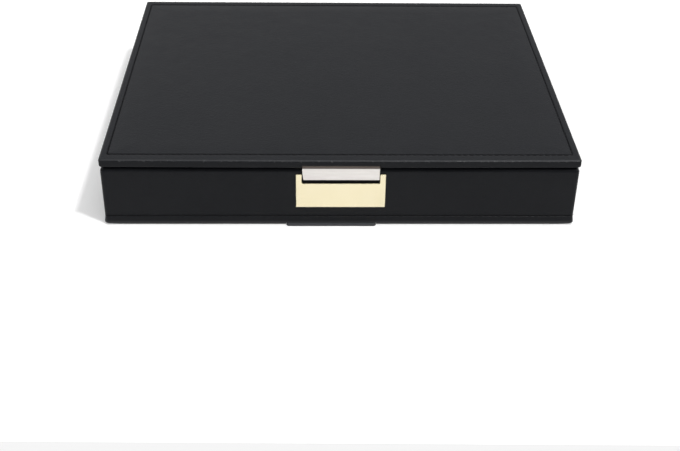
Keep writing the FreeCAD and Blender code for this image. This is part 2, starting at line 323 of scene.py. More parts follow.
def brassMaterial(name, look, brushed=True):
    material, tree, shader = newMaterial(name)
    cloud = noiseAt(tree, objectPlace(tree), look["patch"], detail=4)
    colour = mottle(tree, cloud, look["soft"], look["colour"], look["deep"])
    smears = noiseAt(tree, objectPlace(tree, look["smearRun"]), look["smear"], detail=5)
    tree.links.new(spread(tree, smears, *look["roughRange"], 0.3, 0.7), shader.inputs["Roughness"])
    if brushed:
        scratches = noiseAt(tree, objectPlace(tree, look["brushRun"]), look["brushing"], detail=2)
        raiseSurface(tree, shader, scratches, look["brushDepth"])
    finishShader(tree, shader, look, colour)
    return material


steelLook = {
    "colour": (0.62, 0.61, 0.60),
    "deep": (0.50, 0.50, 0.50),
    "turning": 0.4 * mm,
    "turnRun": (0.05, 1, 1),
    "metal": 1.0,
    "roughRange": (0.25, 0.4),
}


def steelMaterial(name, look):
    material, tree, shader = newMaterial(name)
    cloud = noiseAt(tree, objectPlace(tree, look["turnRun"]), look["turning"], detail=3)
    colour = blendColours(tree, cloud, look["colour"], look["deep"])
    tree.links.new(spread(tree, cloud, *look["roughRange"]), shader.inputs["Roughness"])
    finishShader(tree, shader, look, colour)
    return material


boardLook = {
    "colour": (0.030, 0.026, 0.022),
    "speck": (0.060, 0.052, 0.045),
    "speckSize": 0.5 * mm,
    "soft": 0.3,
    "depth": 0.08 * mm,
    "rough": 0.85,
}


def boardMaterial(name, look):
    # fibreboard dyed nearly black
    material, tree, shader = newMaterial(name)
    specks = noiseAt(tree, objectPlace(tree), look["speckSize"], detail=6, roughness=0.7)
    colour = mottle(tree, specks, look["soft"], look["colour"], look["speck"])
    raiseSurface(tree, shader, specks, look["depth"])
    finishShader(tree, shader, look, colour)
    return material


feltLook = {
    "colour": (0.008, 0.008, 0.009),
    "tuft": (0.018, 0.018, 0.019),
    "clump": 1.6 * mm,
    "soft": 0.3,
    "fibre": 0.25 * mm,
    "depth": 0.15 * mm,
    "rough": 0.95,
    "shine": 0.1,
    "sheen": 0.1,
}


def feltMaterial(name, look):
    material, tree, shader = newMaterial(name)
    place = objectPlace(tree)
    clumps = noiseAt(tree, place, look["clump"], detail=5, roughness=0.7)
    fibres = noiseAt(tree, place, look["fibre"], detail=4, roughness=0.7)
    colour = mottle(tree, clumps, look["soft"], look["colour"], look["tuft"])
    raiseSurface(tree, shader, addHeights(tree, fibres, clumps, 1.0), look["depth"])
    finishShader(tree, shader, look, colour)
    return material


threadLook = {
    "colour": (0.003, 0.003, 0.004),
    "strand": (0.008, 0.008, 0.009),
    "twist": 0.18 * mm,
    "depth": 0.04 * mm,
    "rough": 0.65,
    "shine": 0.15,
}


def threadMaterial(name, look):
    material, tree, shader = newMaterial(name)
    twist = noiseAt(tree, objectPlace(tree), look["twist"], detail=3)
    colour = blendColours(tree, twist, look["colour"], look["strand"])
    raiseSurface(tree, shader, twist, look["depth"])
    finishShader(tree, shader, look, colour)
    return material


# the base tab is a paler black than the walls, painted lighter for the floor's reflection on its top, and
# the hinges are a deeper brass than the plate
tongueLook = {
    **leatherLook,
    "colour": (0.030, 0.032, 0.036),
    "worn": (0.038, 0.040, 0.044),
    # its paler foot is painted reflection of the floor too
    "footSheen": (0.045, 0.047, 0.051),
}
hingeLook = {
    **brassLook,
    "colour": (0.80, 0.66, 0.38),
    "deep": (0.70, 0.56, 0.30),
    "smearRun": (1, 1, 1),
}

leather = leatherMaterial("blackLeatherette", leatherLook)
tongueLeather = leatherMaterial("tabLeatheretteSheenPainted", tongueLook)
velvet = velvetMaterial("paleVelvet", velvetLook)
tabCloth = tabMaterial("paleTabCloth", tabLook)
plateBrass = brassMaterial("paleBrass", brassLook)
hingeBrass = brassMaterial("hingeBrass", hingeLook, brushed=False)
pinSteel = steelMaterial("pinSteel", steelLook)
board = boardMaterial("darkBoard", boardLook)
felt = feltMaterial("blackFelt", feltLook)
thread = threadMaterial("blackThread", threadLook)
print("materials ready")


def finishPiece(name, mesh, material, body, replaced=(), sharpAngle=40):
    # puts a mesh in the scene as one piece of the box
    mesh.shade_smooth()
    mesh.set_sharp_from_angle(angle=math.radians(sharpAngle))
    piece = placeObject(name, mesh)
    piece.data.materials.clear()
    piece.data.materials.append(material)
    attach(piece, body)
    if replaced:
        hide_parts(*replaced)
    return piece


def evenParts(count):
    return [step / count for step in range(count + 1)]


longSide = evenParts(40)
shortSide = evenParts(32)
seamParts = sorted(longSide + [0.4975, 0.5025])  # the rear side has a joint at its middle
cornerSteps = 8


def roundedLoop(width, depth, radius, height, centreY=0.0):
    # a rounded rectangle seen from above, anticlockwise from its front left corner
    radius = max(radius, hair)
    halfX = width / 2 - radius
    halfY = depth / 2 - radius
    sides = [
        ((-halfX, -halfY), (halfX, -halfY), -90, longSide),
        ((halfX, -halfY), (halfX, halfY), 0, shortSide),
        ((halfX, halfY), (-halfX, halfY), 90, seamParts),
        ((-halfX, halfY), (-halfX, -halfY), 180, shortSide),
    ]
    loop = []
    for (startX, startY), (endX, endY), facing, parts in sides:
        outX = math.cos(math.radians(facing)) * radius
        outY = math.sin(math.radians(facing)) * radius
        for part in parts:
            x = startX + (endX - startX) * part
            y = startY + (endY - startY) * part
            loop.append(Vector((x + outX, y + outY + centreY, height)))
        for step in range(1, cornerSteps):
            angle = math.radians(facing + 90 * step / cornerSteps)
            x = endX + math.cos(angle) * radius
            y = endY + math.sin(angle) * radius
            loop.append(Vector((x, y + centreY, height)))
    return loop


def skinLoops(loops, capped=True):
    # a mesh through a row of loops with as many points each, closed at both ends if capped
    shape = bmesh.new()
    rings = [[shape.verts.new(point) for point in loop] for loop in loops]
    count = len(rings[0])
    for lower, upper in zip(rings, rings[1:]):
        for index in range(count):
            after = (index + 1) % count
            shape.faces.new((lower[index], lower[after], upper[after], upper[index]))
    if capped:
        shape.faces.new(list(reversed(rings[0])))
        shape.faces.new(rings[-1])
    return shape


def toMesh(shape, name):
    bmesh.ops.recalc_face_normals(shape, faces=shape.faces[:])
    mesh = bpy.data.meshes.new(name)
    shape.to_mesh(mesh)
    shape.free()
    return mesh


def cutAway(mesh, cutters):
    # takes the cutters' shapes out of a mesh
    target = placeObject("cutTarget", mesh)
    for cutter in cutters:
        modifier = target.modifiers.new("cut", "BOOLEAN")
        modifier.operation = "DIFFERENCE"
        modifier.solver = "EXACT"
        modifier.object = cutter
    bpy.context.view_layer.update()
    graph = bpy.context.evaluated_depsgraph_get()
    result = bpy.data.meshes.new_from_object(target.evaluated_get(graph))
    for helper in [target, *cutters]:
        bpy.data.objects.remove(helper)
    return result


def blockCutter(low, high):
    shape = bmesh.new()
    bmesh.ops.create_cube(shape, size=1)
    middle = (Vector(low) + Vector(high)) / 2
    size = Vector(high) - Vector(low)
    grown = Matrix.Translation(middle) @ Matrix.Diagonal((*size, 1))
    bmesh.ops.transform(shape, matrix=grown, verts=shape.verts)
    return placeObject("blockCutter", toMesh(shape, "blockCutter"))


def rodCutter(centre, radius, length):
    # a round bar along X
    shape = bmesh.new()
    turn = Matrix.Translation(centre) @ Matrix.Rotation(math.radians(90), 4, "Y")
    bmesh.ops.create_cone(shape, cap_ends=True, segments=48, radius1=radius, radius2=radius, depth=length,
                          matrix=turn)
    return placeObject("rodCutter", toMesh(shape, "rodCutter"))


hingeCuts = {
    "endRoom": 0.3 * mm,
    "barrelRoom": 0.3 * mm,
    "leafRoom": 0.1 * mm,
    "leafReach": 0.95 * mm,
    "over": 3 * mm,
}


def hingeCutters(upward):
    # room for both hinges: round for the barrels, shallow pockets for the leaves
    cutters = []
    pocketEnd = hingeAxis.z + upward * hingeCuts["leafReach"]
    lowest, highest = sorted((pocketEnd, hingeAxis.z - upward * hingeCuts["over"]))
    for side in ("left", "right"):
        low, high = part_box(side + "_base_leaf")
        centre = Vector(((low.x + high.x) / 2, hingeAxis.y, hingeAxis.z))
        barrelRadius = high.y - hingeAxis.y
        length = high.x - low.x + 2 * hingeCuts["endRoom"]
        cutters.append(rodCutter(centre, barrelRadius + hingeCuts["barrelRoom"], length))
        room = hingeCuts["leafRoom"]
        cutters.append(blockCutter((low.x - room, low.y - room, lowest),
                                   (high.x + room, hingeAxis.y, highest)))
    return cutters


def quarterRound(radius, steps=6):
    # (inward, upward) steps of a rounded edge, from its foot on the side to its crown
    points = []
    for step in range(steps + 1):
        angle = math.radians(90 * step / steps)
        points.append((radius * (1 - math.cos(angle)), radius * math.sin(angle)))
    return points


def shoulderRound(tight, turn, broad, steps=6):
    # the same for an edge that first turns sharply, then eases over
    points = []
    for step in range(steps + 1):
        angle = math.radians(turn * step / steps)
        points.append((tight * (1 - math.cos(angle)), tight * math.sin(angle)))
    inward, upward = points[-1]
    start = math.radians(turn)
    for step in range(1, steps + 3):
        angle = start + (math.radians(90) - start) * step / (steps + 2)
        points.append((inward + broad * (math.cos(start) - math.cos(angle)),
                       upward + broad * (math.sin(angle) - math.sin(start))))
    return points


stitchSet = {
    "length": 2.7 * mm,
    "gap": 0.6 * mm,
    "thick": 0.25 * mm,
    "sink": 0.33 * mm,
    "slant": 0.12 * mm,
    "steps": 6,
    "sides": 6,
}


def walkLoop(loop, pitch):
    # evenly spaced places along a closed loop, each with its direction
    total = sum((loop[(i + 1) % len(loop)] - point).length for i, point in enumerate(loop))
    count = round(total / pitch)
    spacing = total / count
    places = []
    travelled = 0.0
    due = 0.0
    for index, point in enumerate(loop):
        step = loop[(index + 1) % len(loop)] - point
        while due < travelled + step.length - 1e-9:
            places.append((point + step.normalized() * (due - travelled), step.normalized()))
            due += spacing
        travelled += step.length
    return places


def addStitch(shape, middle, along, outward, look):
    # one stitch: a short thick thread whose ends dive into the leatherette
    across = along.cross(outward)
    rings = []
    steps = look["steps"]
    sides = look["sides"]
    for step in range(steps + 1):
        part = step / steps * 2 - 1
        swell = max(1 - part ** 4, 0.12) ** 0.5
        centre = middle + along * part * look["length"] / 2
        centre = centre + outward * (look["thick"] * 0.5 * (1 - abs(part) ** 3) - look["sink"])
        centre = centre + across * part * look["slant"]
        ring = []
        for side in range(sides):
            angle = 2 * math.pi * side / sides
            offset = across * math.cos(angle) + outward * math.sin(angle)
            ring.append(shape.verts.new(centre + offset * look["thick"] * swell))
        rings.append(ring)
    for first, second in zip(rings, rings[1:]):
        for side in range(sides):
            after = (side + 1) % sides
            shape.faces.new((first[side], first[after], second[after], second[side]))
    shape.faces.new(list(reversed(rings[0])))
    shape.faces.new(rings[-1])


def stitchRow(name, loop, outwardAt, body):
    shape = bmesh.new()
    for place, along in walkLoop(loop, stitchSet["length"] + stitchSet["gap"]):
        addStitch(shape, place, along, outwardAt(place, along), stitchSet)
    finishPiece(name, toMesh(shape, name), thread, body, sharpAngle=60)


lidSet = {
    "corner": 1.5 * mm,
    "shoulderTight": 0.4 * mm,
    "shoulderTurn": 48,
    "shoulderBroad": 2.0 * mm,
    "underRound": 1.3 * mm,
    "underHollow": 0.45 * mm,
    "underSteps": ((8.5 * mm, 0.45 * mm), (5.2 * mm, 0.45 * mm), (3.6 * mm, 0.1 * mm), (2 * mm, 0.0)),
    "skin": 0.8 * mm,
    "windowEdge": 0.3 * mm,
    "windowRise": 0.15 * mm,
    "windowCorners": (0.6 * mm, 0.7 * mm),
    "topInset": 12 * mm,
    "topCorner": 1 * mm,
    "stitchSide": 3.9 * mm,
    "stitchFront": 6.0 * mm,
    "frontBow": 0.6 * mm,
    "tabSlotTall": 1.8 * mm,
    "tabSlotDeep": 3.3 * mm,
    "tabSlotRoom": 0.25 * mm,
    "stitchCorner": 1.2 * mm,
    "grooveWide": 0.72 * mm,
    "grooveDeep": 0.64 * mm,
    "grooveSideShare": 0.6,
    "cornerFold": 0.18 * mm,
    "foldCorner": 1.2 * mm,
}


grooveShape = ((1.6, 0.0), (1.0, 0.1), (0.75, 0.75), (0.35, 1.0))  # shares of its width and its depth


def grooveSteps(wide, deep):
    # (sideways, down) steps across one sewn groove
    half = [(-across * wide, -down * deep) for across, down in grooveShape]
    return half + [(-sideways, down) for sideways, down in reversed(half)]


def cornerStarts():
    # where each corner's arc begins in a rounded loop
    starts = []
    index = 0
    for side in (longSide, shortSide, seamParts, shortSide):
        index += len(side)
        starts.append(index)
        index += cornerSteps - 1
    return starts


def easeCorners(loop, amount, entry):
    # lifts a loop round each corner, where the fold is thick; entry is the share where the corner begins
    for start in cornerStarts():
        for step in range(-1, cornerSteps):
            bend = math.sin(math.pi * (step + 1) / cornerSteps)
            loop[(start + step) % len(loop)].z += amount * (entry + (1 - entry) * bend)
    return loop


def bowFront(loop, amount):
    # the long front edge stands out a little at its middle
    for point, part in zip(loop, longSide):
        point.y -= amount * math.sin(math.pi * part)
    return loop


def pressCorners(loop, amount):
    # the folded leatherette makes a fine crease at each corner
    for start in cornerStarts():
        loop[start + cornerSteps // 2 - 1].z += amount
    return loop


def lidLoops(look, middle, size, padSize):
    low = middle.z - size.z / 2
    high = middle.z + size.z / 2
    skin = look["skin"] - hair
    edge = look["windowEdge"]
    wide = padSize.x + edge
    deep = padSize.y + edge
    inCorner, outCorner = look["windowCorners"]

    def ring(inset, height, radius=None):
        corner = look["corner"] - inset if radius is None else radius
        return roundedLoop(size.x - 2 * inset, size.y - 2 * inset, corner, height, middle.y)

    # the hidden side round the board, then the underside from the pad's window out to the edge
    loops = [ring(skin, high - skin), ring(skin, low + skin)]
    for height in (low + skin, low + look["windowRise"]):
        loops.append(roundedLoop(wide, deep, inCorner, height))
    loops.append(roundedLoop(wide + edge, deep + edge, outCorner, low + look["underHollow"]))
    for inset, rise in look["underSteps"]:
        loops.append(pressCorners(ring(inset, low + rise, look["foldCorner"]), look["cornerFold"]))
    # the edge up to the top
    sides = [ring(inward, low + look["underRound"] - upward)
             for inward, upward in reversed(quarterRound(look["underRound"]))]
    shoulder = shoulderRound(look["shoulderTight"], look["shoulderTurn"], look["shoulderBroad"])
    shoulderTall = shoulder[-1][1]
    sides += [ring(0, low + look["underRound"] + part * (size.z - look["underRound"] - shoulderTall))
              for part in (0.33, 0.66)]
    sides += [ring(inward, high - shoulderTall + upward) for inward, upward in shoulder]
    loops += [bowFront(loop, look["frontBow"]) for loop in sides]
    # the sewn groove and the top inside it
    for sideways, down in grooveSteps(look["grooveWide"], look["grooveDeep"]):
        width = size.x - 2 * (look["stitchSide"] + sideways * look["grooveSideShare"])
        depth = size.y - 2 * (look["stitchFront"] + sideways)
        loops.append(roundedLoop(width, depth, look["stitchCorner"] - sideways * 0.5, high + down, middle.y))
    loops.append(ring(look["stitchFront"] + look["topInset"], high, look["topCorner"]))
    return loops


def makeLid():
    middle, size = nodeSize("lid_cover")
    padSize = nodeSize("lid_pad")[1]
    mesh = toMesh(skinLoops(lidLoops(lidSet, middle, size, padSize)), "lidLeatherette")
    # the lift tab comes out of a low slot in the front edge
    tabLow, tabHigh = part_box("lift_tab")
    low = middle.z - size.z / 2
    front = middle.y - size.y / 2
    room = lidSet["tabSlotRoom"]
    slot = blockCutter((tabLow.x - room, front - 3 * mm, low - 3 * mm),
                       (tabHigh.x + room, front + lidSet["tabSlotDeep"], low + lidSet["tabSlotTall"]))
    mesh = cutAway(mesh, [*hingeCutters(1), slot])
    finishPiece("lidLeatherette", mesh, leather, "lid", ["lid_cover"])
    stitchLoop = roundedLoop(size.x - 2 * lidSet["stitchSide"], size.y - 2 * lidSet["stitchFront"],
                             lidSet["stitchCorner"], middle.z + size.z / 2, middle.y)
    stitchRow("lidStitching", stitchLoop, lambda place, along: Vector((0, 0, 1)), "lid")


wallSet = {
    "corner": 1.9 * mm,
    "rimRound": 2.2 * mm,
    "footRound": 1.1 * mm,
    "footProud": 0.5 * mm,
    "footCorner": 0.85 * mm,
    "footCornerEntry": 0.4,
    "skin": 0.8 * mm,
    "standsAt": 0.05 * mm,
    "flap": 2.5 * mm,
    "flapRound": 0.5 * mm,
    "flapCorners": (0.3 * mm, 0.5 * mm, 0.6 * mm),
    "board": 7.0 * mm,
    "innerCorner": 1.5 * mm,
    "foldCorner": 1.2 * mm,
    "turnUnder": 8.8 * mm,
    "hemCorner": 0.6 * mm,
    "seamHeight": 5.4 * mm,
    "grooveWide": 0.6 * mm,
    "grooveDeep": 0.38 * mm,
    "rimInsets": (6 * mm, 4.2 * mm, 3.1 * mm),
    "rimFold": 0.12 * mm,
    "faceSteps": (8 * mm, 16 * mm, 23 * mm),
    "rearJoint": 0.2 * mm,
    "pocketDeep": 0.65 * mm,
    "pocketDown": 2.2 * mm,
    "pocketEdge": 0.3 * mm,
    "tongueRoom": 0.2 * mm,
}


def wallLoops(look, middle, size):
    low = middle.z - size.z / 2
    high = middle.z + size.z / 2
    skin = look["skin"] - hair
    flapOut = look["skin"] + look["board"] + hair
    flapIn = 2 * look["skin"] + look["board"]

    def ring(inset, height, radius=None):
        corner = look["corner"] - inset if radius is None else radius
        return roundedLoop(size.x - 2 * inset, size.y - 2 * inset, corner, height, middle.y)

    # the hidden side, up from the turned edge to the flap that hangs over the boards
    inner = look["innerCorner"]
    outCorner, inCorner, rimCorner = look["flapCorners"]
    loops = [ring(look["turnUnder"], low + skin, look["hemCorner"]), ring(skin, low + skin, inner),
             ring(skin, high - skin, inner), ring(flapOut, high - skin, outCorner),
             ring(flapOut, high - look["flap"], outCorner), ring(flapIn, high - look["flap"], inCorner)]
    # the rim
    flapRound = look["flapRound"]
    for inward, upward in quarterRound(flapRound, 3):
        loops.append(ring(flapIn - inward, high - flapRound + upward, rimCorner))
    for inset in look["rimInsets"]:
        loops.append(pressCorners(ring(inset, high, look["foldCorner"]), -look["rimFold"]))
    for inward, upward in reversed(quarterRound(look["rimRound"])):
        loops.append(ring(inward, high - look["rimRound"] + upward))
    # the outer face, the seam and the foot
    for down in look["faceSteps"]:
        loops.append(ring(0, high - down))
    for sideways, down in grooveSteps(look["grooveWide"], look["grooveDeep"]):
        loops.append(ring(-down, look["seamHeight"] - sideways))
    for inward, upward in quarterRound(look["footRound"]):
        foot = ring(inward - look["footProud"], low + look["footRound"] - upward)
        lift = look["footCorner"] * upward / look["footRound"]
        loops.append(easeCorners(foot, lift, look["footCornerEntry"]))
    loops.append(ring(look["turnUnder"], low, look["hemCorner"]))
    return loops


def pressRearJoint(mesh, rearY, amount):
    # the wrap's two ends meet at the middle of the rear wall
    for vertex in mesh.vertices:
        if abs(vertex.co.x) < 0.1 * mm and vertex.co.y > rearY - 0.6 * mm:
            vertex.co.y -= amount


def wallOutward(place, along):
    return Vector((along.y, -along.x, 0))


def makeWalls():
    middle, size = nodeSize("wall_cover")
    high = middle.z + size.z / 2
    low = wallSet["standsAt"]
    size.z = high - low
    middle.z = (high + low) / 2
    mesh = toMesh(skinLoops(wallLoops(wallSet, middle, size), capped=False), "wallLeatherette")
    # the hem's two faces are joined at its inner edge
    shape = bmesh.new()
    shape.from_mesh(mesh)
    openEdges = [edge for edge in shape.edges if edge.is_boundary]
    bmesh.ops.bridge_loops(shape, edges=openEdges)
    mesh = toMesh(shape, "wallLeatherette")
    pressRearJoint(mesh, middle.y + size.y / 2, wallSet["rearJoint"])
    cutters = hingeCutters(-1)
    tabLow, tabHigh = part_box("base_tab")
    room = wallSet["tongueRoom"]
    cutters.append(blockCutter((tabLow.x - room, tabLow.y - 1 * mm, low - 1 * mm),
                               (tabHigh.x + room, tabHigh.y + 1 * mm, tabHigh.z + hair)))
    # a shallow pocket behind the lift tab's free end
    hangLow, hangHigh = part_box("lift_tab")
    front = middle.y - size.y / 2
    inside = wallSet["pocketEdge"]
    pocketLow = hangLow.z - wallSet["pocketDown"] - inside
    cutters.append(blockCutter((hangLow.x + inside, front - 2 * mm, pocketLow),
                               (hangHigh.x - inside, front + wallSet["pocketDeep"], hangLow.z + 1 * mm)))
    mesh = cutAway(mesh, cutters)
    finishPiece("wallLeatherette", mesh, leather, "box", ["wall_cover"])
    seamLoop = roundedLoop(size.x, size.y, wallSet["corner"], wallSet["seamHeight"], middle.y)
    stitchRow("wallStitching", seamLoop, wallOutward, "box")


def slabLoops(low, high, look):
    # a block with soft edges; bulge swells its sides
    middle = (low + high) / 2
    size = high - low
    topRound = look["topRound"]
    lowRound = look["lowRound"]
    bulge = look.get("bulge", 0.0)
    loops = []

    def ring(inset, height):
        loop = roundedLoop(size.x - 2 * inset, size.y - 2 * inset, look["corner"] - inset, height, middle.y)
        return [point + Vector((middle.x, 0, 0)) for point in loop]

    for inward, upward in reversed(quarterRound(lowRound, 4)):
        loops.append(ring(inward, low.z + lowRound - upward))
    straight = size.z - topRound - lowRound
    for part in (0.25, 0.5, 0.75):
        loops.append(ring(-bulge * (1 - (2 * part - 1) ** 2), low.z + lowRound + part * straight))
    for inward, upward in quarterRound(topRound, 4):
        loops.append(ring(inward, high.z - topRound + upward))
    return loops


baseTabSet = {"corner": 1.5 * mm, "topRound": 0.8 * mm, "lowRound": 0.2 * mm}
underFeltSet = {"corner": 3 * mm, "topRound": 0.1 * mm, "lowRound": 0.35 * mm}


def makeSlab(name, node, look, material):
    mesh = toMesh(skinLoops(slabLoops(*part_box(node), look)), name)
    finishPiece(name, mesh, material, "box", [node])


liftTabSet = {
    "thick": 0.5 * mm,
    "edgeRound": 0.17 * mm,
    "foldGap": 0.06 * mm,
    "turn": 0.35 * mm,
    "foldTop": 36.35 * mm,
    "setBack": 0.25 * mm,
    "extra": 0.1 * mm,
    "taperLeft": 0.6 * mm,
    "taperRight": 0.1 * mm,
    "bow": 0.04 * mm,
    "steps": 14,
    "rootThin": 0.6,
    "endThin": 0.55,
}


def liftTabPath(look, low, high):
    # middle line of the tab as (y, z): glued root, up the board's edge, over it and down to the free end
    half = look["thick"] / 2
    front = low.y + half + look["setBack"]
    root = high.z - half
    turn = look["turn"]
    over = half + look["foldGap"] / 2
    back = front + 2 * over
    points = [(high.y, root), (back + 6 * turn, root), (back + 1.5 * turn, root)]
    for step in range(7):
        angle = math.radians(90 * step / 6)
        points.append((back + turn * (1 - math.sin(angle)), root + turn * (1 - math.cos(angle))))
    for step in range(9):
        angle = math.radians(180 * step / 8)
        points.append((front + over + over * math.cos(angle), look["foldTop"] + over * math.sin(angle)))
    for step in range(1, look["steps"] + 1):
        part = step / look["steps"]
        bow = math.sin(part * math.pi * 1.5) * look["bow"] * part
        points.append((front + bow, look["foldTop"] - (look["foldTop"] - low.z + look["extra"]) * part))
    return points


def tabOutline(look, left, right):
    # the tab's cross section: (x, offset from its middle line), with rounded edges
    edge = look["edgeRound"]
    reach = look["thick"] / 2 - edge
    outline = []
    for x, offset, start in ((right - edge, reach, 0), (left + edge, reach, 90),
                             (left + edge, -reach, 180), (right - edge, -reach, 270)):
        for step in range(5):
            angle = math.radians(start + 90 * step / 4)
            outline.append((x + edge * math.cos(angle), offset + edge * math.sin(angle)))
    return outline


def makeLiftTab():
    low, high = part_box("lift_tab")
    look = liftTabSet
    path = liftTabPath(look, low, high)
    loops = []
    for index, (y, z) in enumerate(path):
        before = Vector(path[max(index - 1, 0)])
        after = Vector(path[min(index + 1, len(path) - 1)])
        ahead = (after - before).normalized()
        outward = Vector((0, ahead.y, -ahead.x))  # away from the wall
        drop = max(0.0, (high.z - z) / (high.z - low.z))
        left = low.x + look["taperLeft"] * drop ** 2
        right = high.x - look["taperRight"] * drop
        thinned = {0: look["rootThin"], len(path) - 1: look["endThin"]}.get(index, 1.0)
        loops.append([Vector((x, y, z)) + outward * offset * thinned
                      for x, offset in tabOutline(look, left, right)])
    mesh = toMesh(skinLoops(loops), "liftTabStrap")
    finishPiece("liftTabStrap", mesh, tabCloth, "lid", ["lift_tab"])


liningSet = {"corner": 0.5 * mm, "topRound": 0.8 * mm, "lowRound": 0.1 * mm, "bulge": 0.05 * mm}


def makeLinings():
    for side in ("front", "rear", "left", "right"):
        makeSlab(side + "LiningVelvet", side + "_lining", liningSet, velvet)


lidPadSet = {
    "corner": 3 * mm,
    "edge": 1.1 * mm,
    "tuck": 0.4 * mm,
    "crown": 0.5 * mm,
    "reach": 14 * mm,
    "steps": 6,
}


def makeLidPad():
    # the pad hangs upside down, so it crowns towards the compartments
    low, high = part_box("lid_pad")
    look = lidPadSet
    middle = (low + high) / 2
    size = high - low

    def ring(inset, corner, height):
        return roundedLoop(size.x - 2 * inset, size.y - 2 * inset, corner, height, middle.y)

    tuck = look["tuck"]
    loops = [ring(tuck / 2, look["corner"], high.z - hair), ring(0, look["corner"], high.z - tuck)]
    for inward, upward in quarterRound(look["edge"]):
        loops.append(ring(inward, look["corner"] - inward, low.z + look["crown"] + look["edge"] - upward))
    for step in range(1, look["steps"] + 1):
        part = step / look["steps"]
        inset = look["edge"] + look["reach"] * part
        sag = look["crown"] * (1 - (1 - part) ** 2)
        loops.append(ring(inset, max(look["corner"] - inset * 0.1, 1 * mm), low.z + look["crown"] - sag))
    mesh = toMesh(skinLoops(loops), "lidPadVelvet")
    piece = finishPiece("lidPadVelvet", mesh, velvet, "lid", ["lid_pad"])


floorPadSet = {"crown": 0.55 * mm, "sink": 0.05 * mm, "cell": 1.9 * mm, "power": 4}


def cellBounds(names, axis, low, high):
    # edges of the compartments along one axis, from the dividers that part them
    bounds = [low]
    for name in names:
        start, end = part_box(name)
        bounds += [start[axis], end[axis]]
    return bounds + [high]


def crownAt(value, bounds, power):
    # 1 in the middle of a compartment, 0 at its walls and under a divider
    for start, end in zip(bounds[0::2], bounds[1::2]):
        if start <= value <= end:
            part = 2 * (value - start) / (end - start) - 1
            return 1 - abs(part) ** power
    return 0.0


def makeFloorPad(longNames, crossNames):
    look = floorPadSet
    low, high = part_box("floor_pad")
    across = cellBounds(crossNames, 0, low.x, high.x)
    along = cellBounds(longNames, 1, low.y, high.y)
    countX = round((high.x - low.x) / look["cell"])
    countY = round((high.y - low.y) / look["cell"])
    shape = bmesh.new()
    grid = []
    for row in range(countY + 1):
        y = low.y + (high.y - low.y) * row / countY
        line = []
        for column in range(countX + 1):
            x = low.x + (high.x - low.x) * column / countX
            swell = crownAt(x, across, look["power"]) * crownAt(y, along, look["power"])
            z = high.z - look["sink"] + (look["crown"] + look["sink"]) * swell
            line.append(shape.verts.new((x, y, z)))
        grid.append(line)
    for near, far in zip(grid, grid[1:]):
        for column in range(countX):
            shape.faces.new((near[column], near[column + 1], far[column + 1], far[column]))
    # down the four sides and across the underside
    leftSide = [line[0] for line in grid[-2:0:-1]]
    rightSide = [line[-1] for line in grid[1:]]
    border = grid[0] + rightSide + grid[-1][-2::-1] + leftSide
    base = [shape.verts.new((vertex.co.x, vertex.co.y, low.z)) for vertex in border]
    for index in range(len(border)):
        after = (index + 1) % len(border)
        shape.faces.new((border[index], base[index], base[after], border[after]))
    shape.faces.new(list(reversed(base)))
    mesh = toMesh(shape, "floorPadVelvet")
    piece = finishPiece("floorPadVelvet", mesh, velvet, "box", ["floor_pad"], sharpAngle=60)


dividerSet = {"edge": 0.75 * mm, "segments": 4, "room": 0.15 * mm}


def makeDivider(node, crossings, axis, slotsFromTop):
    # a velvet covered strip, slotted where it meets the others
    low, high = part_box(node)
    side = 1 - axis
    halfway = (low.z + high.z) / 2
    room = dividerSet["room"]
    outline = [(low[axis], low.z)]
    slots = []
    for crossing in crossings:
        start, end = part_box(crossing)
        slots.append((start[axis] - room, end[axis] + room))
    if not slotsFromTop:
        for start, end in slots:
            outline += [(start, low.z), (start, halfway + room), (end, halfway + room), (end, low.z)]
    outline += [(high[axis], low.z), (high[axis], high.z)]
    if slotsFromTop:
        for start, end in reversed(slots):
            outline += [(end, high.z), (end, halfway - room), (start, halfway - room), (start, high.z)]
    outline.append((low[axis], high.z))
    shape = bmesh.new()

    def corner(along, height, across):
        place = Vector((0, 0, height))
        place[axis] = along
        place[side] = across
        return shape.verts.new(place)

    face = shape.faces.new([corner(along, height, low[side]) for along, height in outline])
    swept = bmesh.ops.extrude_face_region(shape, geom=[face])
    moved = [item for item in swept["geom"] if isinstance(item, bmesh.types.BMVert)]
    step = Vector((0, 0, 0))
    step[side] = high[side] - low[side]
    bmesh.ops.translate(shape, verts=moved, vec=step)
    # round every long edge but those along the foot
    tiny = 0.001 * mm
    edges = [edge for edge in shape.edges
             if max(vertex.co.z for vertex in edge.verts) > low.z + tiny
             and abs(edge.verts[0].co[side] - edge.verts[1].co[side]) < tiny
             and edge.calc_length() > 2 * mm]
    bmesh.ops.bevel(shape, geom=edges, offset=dividerSet["edge"], segments=dividerSet["segments"],
                    affect="EDGES", profile=0.5, clamp_overlap=True)
    run, _, number = node.split("_")
    name = run + "DividerVelvet" + number
    finishPiece(name, toMesh(shape, name), velvet, "box", [node], sharpAngle=35)


def makeVelvet():
    longNames = sorted(name for name in nodes if name.startswith("long_divider"))
    crossNames = sorted(name for name in nodes if name.startswith("cross_divider"))
    makeLinings()
    makeLidPad()
    makeFloorPad(longNames, crossNames)
    for node in longNames:
        makeDivider(node, crossNames, 0, True)
    for node in crossNames:
        makeDivider(node, longNames, 1, False)


makeLid()
print("lid ready")
makeWalls()
print("walls ready")
makeSlab("baseTabTongue", "base_tab", baseTabSet, tongueLeather)
makeSlab("underFelt", "bottom_panel", underFeltSet, felt)
makeLiftTab()
print("tabs ready")
makeVelvet()
print("velvet ready")


